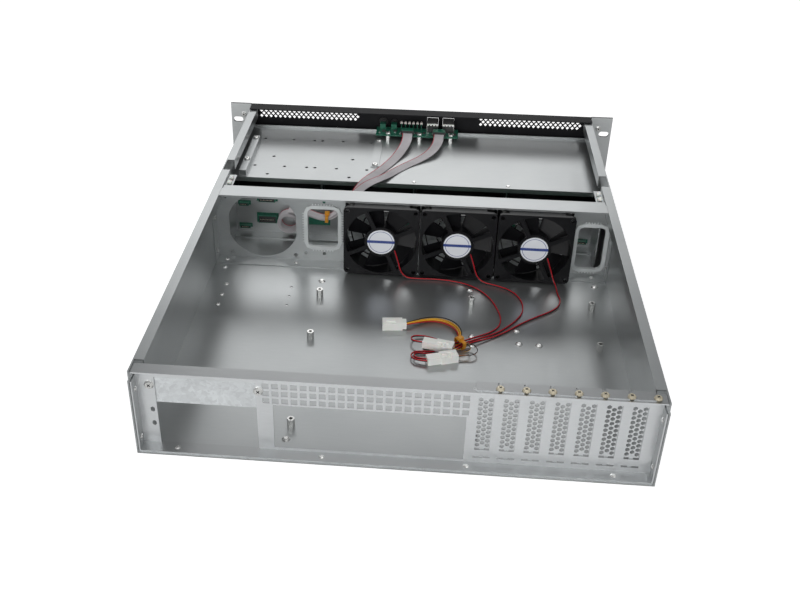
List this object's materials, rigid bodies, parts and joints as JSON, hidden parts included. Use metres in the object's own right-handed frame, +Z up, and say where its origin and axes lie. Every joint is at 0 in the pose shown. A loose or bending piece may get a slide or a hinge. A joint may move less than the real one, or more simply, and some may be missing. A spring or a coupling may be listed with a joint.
{
  "type": "empty rackmount server case",
  "caption": "Open-topped 2U rackmount case: folded steel tray with a fan wall, perforated rear slots, front drive carriers and control wiring.",
  "frame": {"origin": "under the middle of the whole object, on the floor's underside plane", "axes": "+X to the right seen from the rear, +Y from the rear panel to the front panel, +Z up"},
  "size_m": [0.4826, 0.602, 0.0881],
  "materials": {
    "galvanised": "cold-rolled galvanised sheet, satin grey",
    "spangled": "hot-dip galvanised sheet with pale mottling",
    "black_paint": "fine black powder coat",
    "grip_metal": "satin bar",
    "board": "green solder mask",
    "nickel": "nickel plated, slightly dull",
    "gold_zinc": "yellow passivated zinc",
    "guard_wire": "dark plated wire",
    "trim_plastic": "pale grey flexible edge trim",
    "fan_plastic": "black moulded plastic",
    "dark_plastic": "smooth black",
    "tray_metal": "black carrier",
    "white_nylon": "natural nylon",
    "wire_red": "red and black insulation",
    "wire_mixed": "yellow, red and black insulation",
    "tie_orange": "orange nylon",
    "ribbon_grey": "grey ribbon with a red edge"
  },
  "bodies": {
    "case": {"base_tray": "galvanised", "rear_panel": "galvanised", "psu_blank_plate": "spangled", "fan_wall": "galvanised", "cross_beam": "galvanised", "bay_plate": "galvanised", "bracket_left": "galvanised", "bracket_middle": "galvanised", "drive_cage": "galvanised", "backplane_bracket": "galvanised", "front_panel": "black_paint", "rack_ear_left": "black_paint", "rack_ear_right": "black_paint", "handle_left": "grip_metal", "handle_right": "grip_metal", "backplane_board": "board", "control_board": "board", "usb_sockets": "nickel", "plate_screws": "nickel", "slot_screws": "gold_zinc", "fan_screws": "nickel", "panhead_screws": "nickel", "fan_guards": "guard_wire", "grommet_left": "trim_plastic", "grommet_right": "trim_plastic", "board_standoffs": "nickel", "rivets": "nickel", "harness_wires": "wire_mixed", "connector_long": "white_nylon", "small_connectors": "white_nylon", "cable_ties": "tie_orange", "ribbon_1": "ribbon_grey", "ribbon_2": "ribbon_grey", "ribbon_coil": "ribbon_grey", "slot_cover_1": "galvanised", "slot_cover_2": "galvanised", "slot_cover_3": "galvanised", "slot_cover_4": "galvanised", "slot_cover_5": "galvanised", "slot_cover_6": "galvanised", "slot_cover_7": "galvanised", "fan_frame_1": "fan_plastic", "fan_lead_1": "wire_red", "fan_frame_2": "fan_plastic", "fan_lead_2": "wire_red", "fan_frame_3": "fan_plastic", "fan_lead_3": "wire_red"},
    "rotor_1": {"fan_rotor_1": "fan_plastic"},
    "rotor_2": {"fan_rotor_2": "fan_plastic"},
    "rotor_3": {"fan_rotor_3": "fan_plastic"},
    "power_key": {"power_button": "dark_plastic"},
    "reset_key": {"reset_button": "dark_plastic"},
    "carrier_1": {"drive_tray_1": "tray_metal"},
    "carrier_2": {"drive_tray_2": "tray_metal"},
    "carrier_3": {"drive_tray_3": "tray_metal"},
    "carrier_4": {"drive_tray_4": "tray_metal"},
    "carrier_5": {"drive_tray_5": "tray_metal"},
    "carrier_6": {"drive_tray_6": "tray_metal"},
    "carrier_7": {"drive_tray_7": "tray_metal"},
    "carrier_8": {"drive_tray_8": "tray_metal"}
  },
  "joints": [
    {"name": "fan_1_spin", "type": "hinge", "parent": "case", "child": "rotor_1", "pos_m": [-0.0303, 0.015, 0.0435], "axis": [0, 1, 0], "continuous": true},
    {"name": "fan_2_spin", "type": "hinge", "parent": "case", "child": "rotor_2", "pos_m": [0.0509, 0.015, 0.0435], "axis": [0, 1, 0], "continuous": true},
    {"name": "fan_3_spin", "type": "hinge", "parent": "case", "child": "rotor_3", "pos_m": [0.1321, 0.015, 0.0435], "axis": [0, 1, 0], "continuous": true},
    {"name": "carrier_1_slide", "type": "slide", "parent": "case", "child": "carrier_1", "axis": [0, 1, 0], "range_m": [0, 0.15]},
    {"name": "carrier_2_slide", "type": "slide", "parent": "case", "child": "carrier_2", "axis": [0, 1, 0], "range_m": [0, 0.15]},
    {"name": "carrier_3_slide", "type": "slide", "parent": "case", "child": "carrier_3", "axis": [0, 1, 0], "range_m": [0, 0.15]},
    {"name": "carrier_4_slide", "type": "slide", "parent": "case", "child": "carrier_4", "axis": [0, 1, 0], "range_m": [0, 0.15]},
    {"name": "carrier_5_slide", "type": "slide", "parent": "case", "child": "carrier_5", "axis": [0, 1, 0], "range_m": [0, 0.15]},
    {"name": "carrier_6_slide", "type": "slide", "parent": "case", "child": "carrier_6", "axis": [0, 1, 0], "range_m": [0, 0.15]},
    {"name": "carrier_7_slide", "type": "slide", "parent": "case", "child": "carrier_7", "axis": [0, 1, 0], "range_m": [0, 0.15]},
    {"name": "carrier_8_slide", "type": "slide", "parent": "case", "child": "carrier_8", "axis": [0, 1, 0], "range_m": [0, 0.15]},
    {"name": "power_press", "type": "slide", "parent": "case", "child": "power_key", "axis": [0, -1, 0], "range_m": [0, 0.0012], "stiffness_N_per_m": 200, "springref_m": -0.001},
    {"name": "reset_press", "type": "slide", "parent": "case", "child": "reset_key", "axis": [0, -1, 0], "range_m": [0, 0.0012], "stiffness_N_per_m": 200, "springref_m": -0.001}
  ]
}
